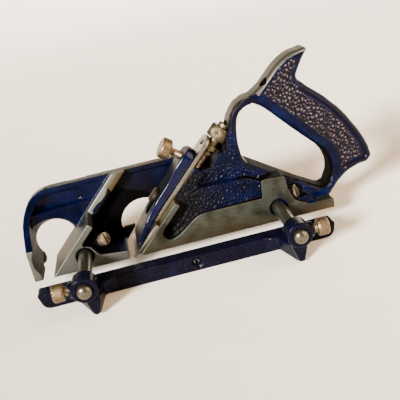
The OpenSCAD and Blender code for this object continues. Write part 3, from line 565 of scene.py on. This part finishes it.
def gripZones(places, normals):  # pebbled panel, the groove and edge behind it, and the rough-cast faces
    x, y, z = places.T
    half = casting["gripHalf"]
    onSide = ease(np.abs(y), half - 1.2, half - 0.4) * (x > 142) * (z > 20)
    fromEdge, _ = nearestOn(outlineOf(handleCorners), x, z)
    fromHole, _ = nearestOn(outlineOf(openingCorners), x, z)
    back = ease(x, 203, 209) * (z > 24)
    inPanel = onSide * ease(fromEdge, 3 + 2.8 * back, 4 + 3.0 * back) * ease(fromHole, 5.5, 9)
    panel = inPanel * ease(x + z * 0.25, 196, 202) * (z > 22)
    groove = onSide * back * (1 - ease(np.abs(fromEdge - casting["border"]), 0.4, 1.3))
    edge = onSide * back * (1 - ease(fromEdge, 5, 6))
    post = onSide * (x < 172) * (z > 48) * ease(fromEdge, 2, 3.5) * ease(fromHole, 2, 3.5)
    web = within(x, 94, 200) * within(z, 8, 47) * within(y, -16.5, 2) * ease(-normals[:, 1], 0.5, 0.8)
    return panel, groove, edge, np.clip(post + web, 0, 1)


def joinPlate(piece, spots, low, high):  # welds an upright plate of an outline in XZ to the casting's mesh
    bpy.ops.object.select_all(action="DESELECT")
    bpy.ops.mesh.primitive_circle_add(vertices=len(spots), radius=mm, fill_type="NGON", location=(0, 0, 0))
    plate = bpy.context.object
    for v, (px, pz) in zip(plate.data.vertices, spots):
        v.co = ((px - plane["length"] / 2) * mm, low * mm, pz * mm)
    editAll(plate)
    bpy.ops.mesh.extrude_region_move(TRANSFORM_OT_translate={"value": (0, (high - low) * mm, 0)})
    bpy.ops.mesh.select_all(action="SELECT")
    bpy.ops.mesh.normals_make_consistent(inside=False)
    backToObject()
    pick(piece)
    plate.select_set(True)
    bpy.ops.object.join()


def addWebs(piece):  # the gusset below the front post, the back behind the nut, the nose panel's round end
    half = casting["gussetHalf"]
    joinPlate(piece, casting["gusset"], -half, half)
    joinPlate(piece, casting["nutBack"], casting["nutBackFrom"], casting["nutBackTo"])
    end = casting["pocketEnd"]
    sweep = [math.radians(90 - 180 * i / 12) for i in range(13)]
    spots = [(end["x"] + end["radius"] * math.cos(a), end["z"] + end["radius"] * math.sin(a)) for a in sweep]
    joinPlate(piece, spots + end["rampSide"], end["from"], end["to"])


def cutHole(piece):  # the blind hole at the foot of the horn
    hole = casting["hornHole"]
    bpy.ops.object.select_all(action="DESELECT")
    bpy.ops.mesh.primitive_uv_sphere_add(segments=32, ring_count=16, radius=mm, location=(0, 0, 0))
    ball = bpy.context.object
    place = Matrix.Translation(((hole["x"] - plane["length"] / 2) * mm, hole["y"] * mm, hole["z"] * mm))
    sizes = Matrix.Diagonal((hole["long"], hole["wide"], hole["deep"], 1))
    settle(ball, place @ Matrix.Rotation(-math.pi / 4, 4, "Y") @ sizes)
    useModifier(piece, "BOOLEAN", object=ball, operation="DIFFERENCE", solver="EXACT")
    bpy.data.objects.remove(ball)


def makeCasting():
    piece = cadCopy("body", "casting")
    cutHole(piece)
    addWebs(piece)
    useModifier(piece, "REMESH", mode="VOXEL", voxel_size=casting["voxel"] * mm)
    useModifier(piece, "SMOOTH", factor=0.5, iterations=casting["smooth"])
    places, normals = vertexPlaces(piece)
    fairHandle(places)
    panel, groove, _, rough = gripZones(places, normals)
    for zone, cell, height in ((panel, casting["pebbleSize"], casting["pebbleHeight"]),
                               (rough, casting["speckleSize"], casting["speckleHeight"])):
        places += normals * ((castGrain(places, cell) - 0.6) * zone * height)[:, None]
    places -= normals * (groove * casting["groove"])[:, None]
    movePlaces(piece, places)
    trimTo(piece, casting["tris"], np.maximum(panel, rough))
    places, normals = vertexPlaces(piece)
    panel, _, border, _ = gripZones(places, normals)
    # painted highlight, partly worn enamel: the grain tops take the grip's pinkish polish tone
    tops = ease(castGrain(places, casting["pebbleSize"]), 0.42, 0.78) * panel
    paintMask(piece, "bare", bareIron(places, normals) + 0.7 * tops)
    wear = edgeWear(piece) * (1 - 0.3 * panel) * (1 - hornDip(places)) * (1 - 0.4 * underPost(places))
    paintMask(piece, "edge", wear)
    paintMask(piece, "soil", soilingAndPaintedLight(places, normals))
    # on the grip panel and its border this is hand browning with a painted warm reflection tint; on the rail
    # flank, nose side and horn it lightens bare iron
    rubbed = 0.8 * panel + 0.7 * border + railFlank(places) + lighterNoseSide(places) + 0.15 * hornTop(places)
    paintMask(piece, "hand", rubbed)
    pick(piece)
    bpy.ops.object.shade_smooth()
    finishPiece(piece, "body", [castingEnamel, gripEnamel], ["body"])
    for face in piece.data.polygons:
        face.material_index = int(panel[list(face.vertices)].mean() > 0.5)
    print("casting", len(piece.data.vertices), "points")


fenceBar = {"voxel": 0.45, "smooth": 6, "tris": 120000, "face": -26.5, "speckleSize": 2.0,
            "speckleHeight": 0.45}


def makeFence():
    piece = cadCopy("fence", "fenceCasting")
    useModifier(piece, "REMESH", mode="VOXEL", voxel_size=fenceBar["voxel"] * mm)
    useModifier(piece, "SMOOTH", factor=0.5, iterations=fenceBar["smooth"])
    places, normals = vertexPlaces(piece)
    rough = ease(-normals[:, 1], 0.6, 0.85) * (places[:, 2] < 0)
    grain = grains(places[:, 0], places[:, 2] + 0.3 * places[:, 1], fenceBar["speckleSize"])
    places += normals * ((grain - 0.7) * rough * fenceBar["speckleHeight"])[:, None]
    movePlaces(piece, places)
    trimTo(piece, fenceBar["tris"])
    places, normals = vertexPlaces(piece)
    face = ease(places[:, 1], fenceBar["face"] - 0.5, fenceBar["face"] - 0.2)
    paintMask(piece, "bare", face)
    paintMask(piece, "edge", edgeWear(piece))
    paintMask(piece, "soil", face * 0.4)
    # painted warm reflection tint on the fence's front faces, as on the grip
    paintMask(piece, "hand", 0.35 * ease(-normals[:, 1], 0.6, 0.85))
    pick(piece)
    bpy.ops.object.shade_smooth()
    finishPiece(piece, "fence", [fenceEnamel], ["fence"])
    print("fence", len(piece.data.vertices), "points")


# half is the cap's half width at the places along it, from its edge up the slope
cap = {"voxel": 0.34, "smooth": 70, "tris": 90000, "along": (1.5, 7.5, 20, 36, 80),
       "half": (18.2, 17.6, 13.4, 10.2, 10), "grooveAt": 20, "grooveDeep": 0.3}


def makeCap():
    piece = cadCopy("lever_cap", "leverCap")
    useModifier(piece, "REMESH", mode="VOXEL", voxel_size=cap["voxel"] * mm)
    useModifier(piece, "SMOOTH", factor=0.5, iterations=cap["smooth"])
    trimTo(piece, cap["tris"])
    places, normals = vertexPlaces(piece)
    s, _ = bedFrame(plane["mainBed"], places[:, 0], places[:, 2])
    inset = np.interp(s, cap["along"], cap["half"]) - np.abs(places[:, 1])
    groove = (1 - ease(np.abs(s - cap["grooveAt"]), 0.3, 0.7)) * (inset < 1.2)
    places -= normals * (groove * cap["grooveDeep"])[:, None]
    movePlaces(piece, places)
    out = (normals[:, 2] - normals[:, 0]) * math.sqrt(0.5)
    front = ease(inset, 1.2, 1.6) * ease(out, 0.5, 0.7) + ease(-out, 0.8, 0.9) + 1 - ease(s, 4.5, 6)
    hollow = (inset > 3.5) * (1 - ease(np.abs(out), 0.6, 0.8))
    paintMask(piece, "bare", front - hollow)
    paintMask(piece, "edge", np.full(len(s), 0.45))
    # painted shade: the keyhole slot's walls are darkened
    paintMask(piece, "soil", hollow)
    pick(piece)
    bpy.ops.object.shade_smooth()
    finishPiece(piece, "lever_cap", [capEnamel], ["lever_cap"])
    print("lever cap", len(piece.data.vertices), "points")


def turn(name, profile, sides, bored=False):  # a turned piece along Z from rings of (radius, height) in mm
    bpy.ops.object.select_all(action="DESELECT")
    radius, height = profile[0]
    bpy.ops.mesh.primitive_circle_add(vertices=sides, radius=radius * mm, location=(0, 0, 0))
    piece = bpy.context.object
    piece.name = name
    piece.data.name = name
    bpy.ops.object.mode_set(mode="EDIT")
    bpy.ops.mesh.select_all(action="SELECT")
    bpy.ops.transform.translate(value=(0, 0, height * mm))
    for (r0, z0), (r1, z1) in zip(profile, profile[1:]):
        bpy.ops.mesh.extrude_region_move(TRANSFORM_OT_translate={"value": (0, 0, (z1 - z0) * mm)})
        if r1 != r0:
            bpy.ops.transform.resize(value=(r1 / r0, r1 / r0, 1), center_override=(0, 0, 0))
    bpy.ops.mesh.select_all(action="DESELECT")
    bpy.ops.mesh.select_non_manifold()
    if bored:
        bpy.ops.mesh.bridge_edge_loops()
    else:
        bpy.ops.mesh.fill_holes(sides=0)
    bpy.ops.mesh.select_all(action="SELECT")
    bpy.ops.mesh.normals_make_consistent(inside=False)
    backToObject()
    return piece


def knurl(piece, radius, low, high, depth, teeth, pitch=0):  # straight teeth, or diamonds with a pitch
    valleys = np.zeros(len(piece.data.vertices))
    for v in piece.data.vertices:
        flat = math.hypot(v.co.x, v.co.y) / mm
        height = v.co.z / mm
        if abs(flat - radius) < 0.05 and low - 0.01 <= height <= high + 0.01:
            around = math.atan2(v.co.y, v.co.x) / (2 * math.pi) * teeth
            climb = height / pitch if pitch else 0
            cut = max(abs(2 * ((around + climb) % 1) - 1), abs(2 * ((around - climb) % 1) - 1))
            valleys[v.index] = cut
            v.co.x *= (flat - depth * cut) / flat
            v.co.y *= (flat - depth * cut) / flat
    paintMask(piece, "valley", valleys)


def thread(piece, radius, low, high, pitch, depth):  # winds a V thread into a plain shank
    for v in piece.data.vertices:
        flat = math.hypot(v.co.x, v.co.y) / mm
        height = v.co.z / mm
        if abs(flat - radius) < 0.02 and low < height < high:
            phase = (height / pitch - math.atan2(v.co.y, v.co.x) / (2 * math.pi)) % 1
            cut = depth * (1 - abs(2 * phase - 1)) * min(1, (high - height) / pitch, (height - low) / pitch)
            v.co.x *= (flat - cut) / flat
            v.co.y *= (flat - cut) / flat


def rings(radius, low, high, step):  # evenly spaced rings of one radius
    count = max(1, round((high - low) / step))
    return [(radius, low + (high - low) * i / count) for i in range(count + 1)]


def smoothEdges(piece, degrees):
    pick(piece)
    bpy.ops.object.shade_smooth_by_angle(angle=math.radians(degrees))


def makeThumb(name, node, c, place):  # a turned thumbscrew with a threaded shank and a knurled head
    profile = c["tip"] + rings(c["shank"], c["from"], c["to"], c["pitch"] / 4) + c["neck"]
    profile += rings(c["head"], c["gripFrom"], c["gripTo"], c["gripStep"]) + c["crown"]
    piece = turn(name, profile, c["sides"])
    thread(piece, c["shank"], c["from"], c["to"], c["pitch"], c["threadDepth"])
    knurl(piece, c["head"], c["gripFrom"], c["gripTo"], c["gripDepth"], c["teeth"], c["diamond"])
    smoothEdges(piece, 40)
    settle(piece, place)
    finishPiece(piece, node, [wornNickel], [node])


capThumb = {"tip": [(1.6, 0.25)], "shank": 2.8, "from": 1.45, "to": 15, "pitch": 1.0, "threadDepth": 0.42,
            "neck": [(4.4, 15.4), (4.6, 15.6), (6.9, 16.6)],
            "head": 7.5, "gripFrom": 17.2, "gripTo": 22.2, "gripStep": 0.45, "gripDepth": 0.35,
            "crown": [(6.7, 23.0), (6.3, 23.2), (5.2, 23.0), (1.0, 22.9)],
            "sides": 104, "teeth": 26, "diamond": 1.8, "along": 73, "seat": 2.65, "lean": 8}


def makeCapThumb():
    c = capThumb
    lean = Matrix.Rotation(-math.radians(c["lean"]), 4, "Y")
    place = bedPlace(plane["mainBed"], c["along"], 0, c["seat"], lean)
    makeThumb("capThumbscrew", "lever_cap_thumbscrew", c, place)


fenceThumb = {"tip": [(2.4, 4.85)], "shank": 3.0, "from": 5.45, "to": 12.3, "pitch": 1.0, "threadDepth": 0.4,
              "neck": [(4.6, 12.7), (5.2, 12.9)],
              "head": 6.0, "gripFrom": 13.7, "gripTo": 19.1, "gripStep": 0.47, "gripDepth": 0.5,
              "crown": [(5.0, 20.0), (4.6, 20.1), (3.6, 19.9), (0.8, 19.8)],
              "sides": 80, "teeth": 20, "diamond": 1.9, "across": -63.2}


def makeFenceThumbs():
    for name, node, x, way in (("frontFenceThumbscrew", "front_fence_thumbscrew", plane["frontArm"], -1),
                               ("rearFenceThumbscrew", "rear_fence_thumbscrew", plane["rearArm"], 1)):
        place = toePlace(x, fenceThumb["across"], plane["armHeight"], (way, 0, 0))
        makeThumb(name, node, fenceThumb, place)


stopThumb = {"tip": [(2.5, 15.1)], "shank": 3.0, "from": 15.6, "to": 22.6, "pitch": 1.0, "threadDepth": 0.4,
             "neck": [(5.6, 22.6), (6.2, 22.6)],
             "head": 7.0, "gripFrom": 23.4, "gripTo": 28.6, "gripStep": 0.47, "gripDepth": 0.5,
             "crown": [(6.2, 29.35), (5.8, 29.4), (4.6, 29.2), (0.8, 29.1)],
             "sides": 96, "teeth": 24, "diamond": 1.9, "x": 42, "z": 33}


def makeStopThumb():
    place = toePlace(stopThumb["x"], 0, stopThumb["z"], (0, 1, 0))
    makeThumb("stopThumbscrew", "depth_stop_thumbscrew", stopThumb, place)


feedNut = {"bore": 2.76, "tail": 4.0, "waist": 3.1, "collar": 5.3, "neck": 3.6, "grip": 7.5, "shoulder": 4.1,
           "collarStart": 85.9, "gripStart": 94.3, "gripLong": 9, "gripDepth": 0.3, "sides": 64, "teeth": 32}


def makeFeedNut():
    c = feedNut
    a, g = c["collarStart"], c["gripStart"]
    e = g + c["gripLong"]
    tail, waist, neck, shoulder = c["tail"], c["waist"], c["neck"], c["shoulder"]
    profile = [(c["bore"], a - 4), (3.7, a - 4), (tail, a - 3.7), (tail, a - 1.8)]
    profile += [(waist, a - 1.4), (waist, a), (5.1, a), (c["collar"], a + 0.2), (c["collar"], a + 3.2)]
    profile += [(5.1, a + 3.4), (neck, a + 3.4), (neck, g), (6.8, g), (7.1, g + 0.2)]
    profile += rings(c["grip"], g + 0.6, e - 0.6, 3.9) + [(7.1, e - 0.1), (6.8, e)]
    profile += [(shoulder, e), (shoulder, e + 2.6), (3.5, e + 3.2), (c["bore"], e + 3.2)]
    piece = turn("feedNut", profile, c["sides"], bored=True)
    knurl(piece, c["grip"], g + 0.6, e - 0.6, c["gripDepth"], c["teeth"])
    smoothEdges(piece, 38)
    settle(piece, studPlace())
    finishPiece(piece, "feed_nut", [dullBrass], ["feed_nut"])


feedStud = {"radius": 2.7, "end": 2.2, "from": 50, "to": 101.3, "chamfer": 0.5, "pitch": 1.0, "depth": 0.45,
            "sides": 40}


def makeFeedStud():
    c = feedStud
    low, high = c["from"] + c["chamfer"], c["to"] - c["chamfer"]
    profile = [(c["end"], c["from"])] + rings(c["radius"], low, high, c["pitch"] / 4) + [(c["end"], c["to"])]
    piece = turn("feedStud", profile, c["sides"])
    thread(piece, c["radius"], low, high, c["pitch"], c["depth"])
    smoothEdges(piece, 50)
    settle(piece, studPlace())
    finishPiece(piece, "body", [brownSteel], ["feed_stud"])


arm = {"radius": 4.75, "chamfer": 0.6, "dome": 3.2, "start": 17, "sides": 64}


def makeArms():
    c = arm
    shoulder = c["start"] - plane["armEnd"] - c["dome"]
    angles = [math.radians(a) for a in range(0, 89, 8)]
    dome = [(c["radius"] * math.cos(a), shoulder + c["dome"] * math.sin(a)) for a in angles]
    profile = [(c["radius"] - c["chamfer"], 0), (c["radius"], c["chamfer"])] + dome
    for name, node, x in (("frontArm", "front_arm", plane["frontArm"]),
                          ("rearArm", "rear_arm", plane["rearArm"])):
        piece = turn(name, profile, c["sides"])
        smoothEdges(piece, 30)
        settle(piece, toePlace(x, c["start"], plane["armHeight"], (0, -1, 0)))
        finishPiece(piece, "body", [armSteel], [node])


# solid, piece, body, slot, finish, and how wide its edges are broken in mm
smallPieces = [("cutter", "cutterIron", "cutter", "cutter_steel", cutterSteel, 0.18),
               ("lever_cap_screw", "capScrew", "lever_cap_screw", "aged_screw_steel", blackSteel, 0.35),
               ("front_arm_screw", "frontLockScrew", "front_arm_screw", "aged_screw_steel", brownSteel, 0.4),
               ("rear_arm_screw", "rearLockScrew", "rear_arm_screw", "aged_screw_steel", brownSteel, 0.4),
               ("depth_stop", "depthStop", "depth_stop", "arm_steel", armSteel, 0.3),
               ("depth_stop_washer", "stopWasher", "depth_stop_thumbscrew", "arm_steel", armSteel, 0.2),
               ("spur", "spurWheel", "spur", "cutter_steel", cutterSteel, 0.12),
               ("spur_screw", "spurScrew", "spur_screw", "aged_screw_steel", brownSteel, 0.25)]


def makeSmallPieces():  # the solids' own shapes, with their edges broken as a file would
    for node, name, body, slot, finish, width in smallPieces:
        piece = cadCopy(node, name)
        editAll(piece)
        bpy.ops.mesh.dissolve_limited(angle_limit=math.radians(1.0))
        backToObject()
        useModifier(piece, "BEVEL", width=width * mm, segments=2, limit_method="ANGLE",
                    angle_limit=math.radians(40))
        smoothEdges(piece, 32)
        finishPiece(piece, body, [finish], [node])


stage = {"floor": -12.7, "flat": 1.5, "sweep": 0.9, "sides": 96, "steps": 12, "stepAngle": 7,
         "paper": "#f9f3e6", "mottle": "#f5eee0", "mottleSize": 40}


def makeFloor():  # a round sheet that sweeps up at its rim
    bpy.ops.object.select_all(action="DESELECT")
    bpy.ops.mesh.primitive_circle_add(vertices=stage["sides"], radius=stage["flat"],
                                      location=(0, 0, stage["floor"] * mm))
    floor = bpy.context.object
    floor.name = "paleSheet"
    bpy.ops.object.mode_set(mode="EDIT")
    bpy.ops.mesh.select_all(action="SELECT")
    radius = stage["flat"]
    for i in range(stage["steps"]):
        a0, a1 = math.radians(i * stage["stepAngle"]), math.radians((i + 1) * stage["stepAngle"])
        wider = radius + stage["sweep"] * (math.sin(a1) - math.sin(a0))
        bpy.ops.mesh.extrude_region_move(
            TRANSFORM_OT_translate={"value": (0, 0, stage["sweep"] * (math.cos(a0) - math.cos(a1)))})
        bpy.ops.transform.resize(value=(wider / radius, wider / radius, 1), center_override=(0, 0, 0))
        radius = wider
    bpy.ops.mesh.select_all(action="DESELECT")
    backToObject()
    for v in floor.data.vertices:
        v.select = v.co.z < 0.0001
    bpy.ops.object.mode_set(mode="EDIT")
    bpy.ops.mesh.edge_face_add()
    bpy.ops.mesh.select_all(action="SELECT")
    bpy.ops.mesh.normals_make_consistent(inside=True)
    backToObject()
    smoothEdges(floor, 40)
    mat, coords = newFinish("mattPaper")  # matt paper: even, barely mottled
    mottle = addNode(mat, "TexNoise", {"Scale": 1 / (stage["mottleSize"] * mm), "Detail": 3},
                     {"Vector": coords}).outputs["Fac"]
    tone = addNode(mat, "ValToRGB", {"stops": [(0.3, stage["mottle"]), (0.7, stage["paper"])]},
                   {"Fac": mottle}).outputs["Color"]
    surface = addNode(mat, "BsdfPrincipled", {"Roughness": 0.85, "Specular IOR Level": 0.2},
                      {"Base Color": tone})
    closeFinish(mat, surface)
    floor.data.materials.append(mat)


light = {"keyFrom": (-0.60, -0.70, 0.38), "key": 19, "keyAngle": 13, "keyTone": "#fffaf4",
         "fillFrom": (0.75, -0.45, 0.45), "fill": 13, "fillSize": 0.7, "fillTone": "#ffe0bd",
         "world": 0.36, "worldTone": "#ffcf9c"}


def makeLights():
    sun = bpy.data.lights.new("windowLight", "SUN")
    sun.energy = light["key"]
    sun.angle = math.radians(light["keyAngle"])
    sun.color = hexLinear(light["keyTone"])[:3]
    lamp = bpy.data.objects.new("windowLight", sun)
    lamp.rotation_euler = Vector(light["keyFrom"]).to_track_quat("Z", "Y").to_euler()
    bpy.context.scene.collection.objects.link(lamp)
    soft = bpy.data.lights.new("warmFill", "AREA")
    soft.energy = light["fill"]
    soft.size = light["fillSize"]
    soft.color = hexLinear(light["fillTone"])[:3]
    card = bpy.data.objects.new("warmFill", soft)
    card.location = light["fillFrom"]
    card.rotation_euler = Vector(light["fillFrom"]).to_track_quat("Z", "Y").to_euler()
    bpy.context.scene.collection.objects.link(card)
    world = bpy.data.worlds.new("softRoom")
    world.use_nodes = True
    sky = world.node_tree.nodes["Background"]
    sky.inputs["Color"].default_value = hexLinear(light["worldTone"])
    sky.inputs["Strength"].default_value = light["world"]
    bpy.context.scene.world = world


view = {"place": (-0.0167, -0.4246, 0.1888), "lens": 57.77, "sensor": 36,
        "azimuth": -4.46, "elevation": 21.37, "roll": -12.33}


def makeCamera():
    az, el, roll = (math.radians(view[k]) for k in ("azimuth", "elevation", "roll"))
    back = Vector((math.sin(az) * math.cos(el), -math.cos(az) * math.cos(el), math.sin(el)))
    right = (-back).cross(Vector((0, 0, 1))).normalized()
    up = right.cross(-back)
    across = math.cos(roll) * right + math.sin(roll) * up
    above = -math.sin(roll) * right + math.cos(roll) * up
    data = bpy.data.cameras.new("photoView")
    data.lens = view["lens"]
    data.sensor_width = view["sensor"]
    data.clip_start = 0.01
    camera = bpy.data.objects.new("photoView", data)
    facing = Matrix((across, above, back)).transposed().to_4x4()
    camera.matrix_world = Matrix.Translation(view["place"]) @ facing
    bpy.context.scene.collection.objects.link(camera)
    bpy.context.scene.camera = camera


makeCamera()
makeLights()
makeFloor()
print("stage set")
makeCasting()
makeFence()
makeCap()
makeCapThumb()
makeFenceThumbs()
makeStopThumb()
makeFeedNut()
makeFeedStud()
makeArms()
makeSmallPieces()
print("pieces made")
